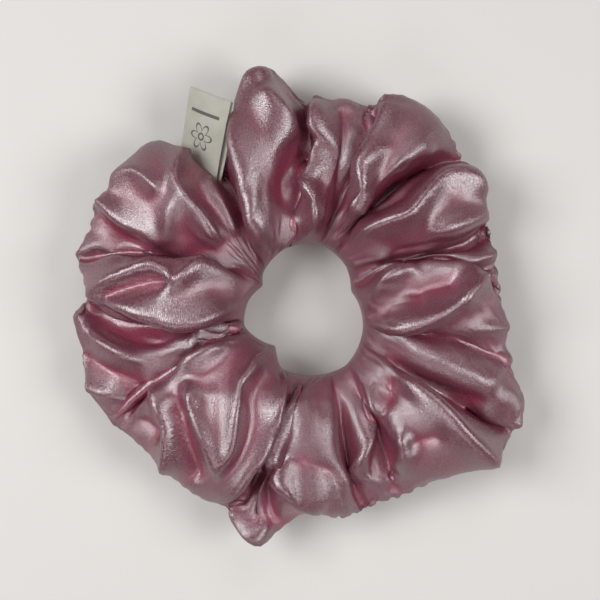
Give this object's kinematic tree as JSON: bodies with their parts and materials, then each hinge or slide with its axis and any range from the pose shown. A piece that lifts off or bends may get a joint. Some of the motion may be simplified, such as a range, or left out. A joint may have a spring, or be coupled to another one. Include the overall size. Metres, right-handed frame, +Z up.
{
  "type": "scrunchie",
  "caption": "Gathered satin hair scrunchie: a ruched cloth tube around an elastic band, with a folded ribbon label caught in its outer seam.",
  "frame": {"origin": "middle of the scrunchie's outline on the surface it lies on, its underside at z = 0", "axes": "+Z up through the hole, +Y towards the label's side, +X to the right as it is seen from above"},
  "size_m": [0.115, 0.1191, 0.028],
  "materials": {
    "satin": "dusty pink satin weave with a soft pearly sheen",
    "elastic_knit": "matt white knitted elastic",
    "label_ribbon": "matt cream woven ribbon with a plain printed rule",
    "pink_thread": "spun polyester sewing thread",
    "white_thread": "spun polyester sewing thread"
  },
  "bodies": {
    "label_half": {"cover_label_half": "satin", "elastic_band": "elastic_knit", "elastic_lap_stitches": "white_thread", "tube_seam_thread": "pink_thread", "label_stitches": "pink_thread"},
    "closing_half": {"cover_closing_half": "satin", "end_join_thread": "pink_thread", "closing_stitches": "pink_thread"},
    "label": {"label": "label_ribbon"}
  },
  "joints": [
    {"name": "stretch", "type": "slide", "parent": "label_half", "child": "closing_half", "axis": [0.5736, -0.8192, 0], "range_m": [0, 0.06], "stiffness_N_per_m": 80, "deforming": ["elastic_band", "tube_seam_thread"]},
    {"name": "label_flap", "type": "hinge", "parent": "label_half", "child": "label", "pos_m": [-0.02525, 0.03293, 0.014], "axis": [0.7555, -0.3685, 0.5417], "range_deg": [0, 25], "stiffness_Nm_per_rad": 0.0001}
  ]
}
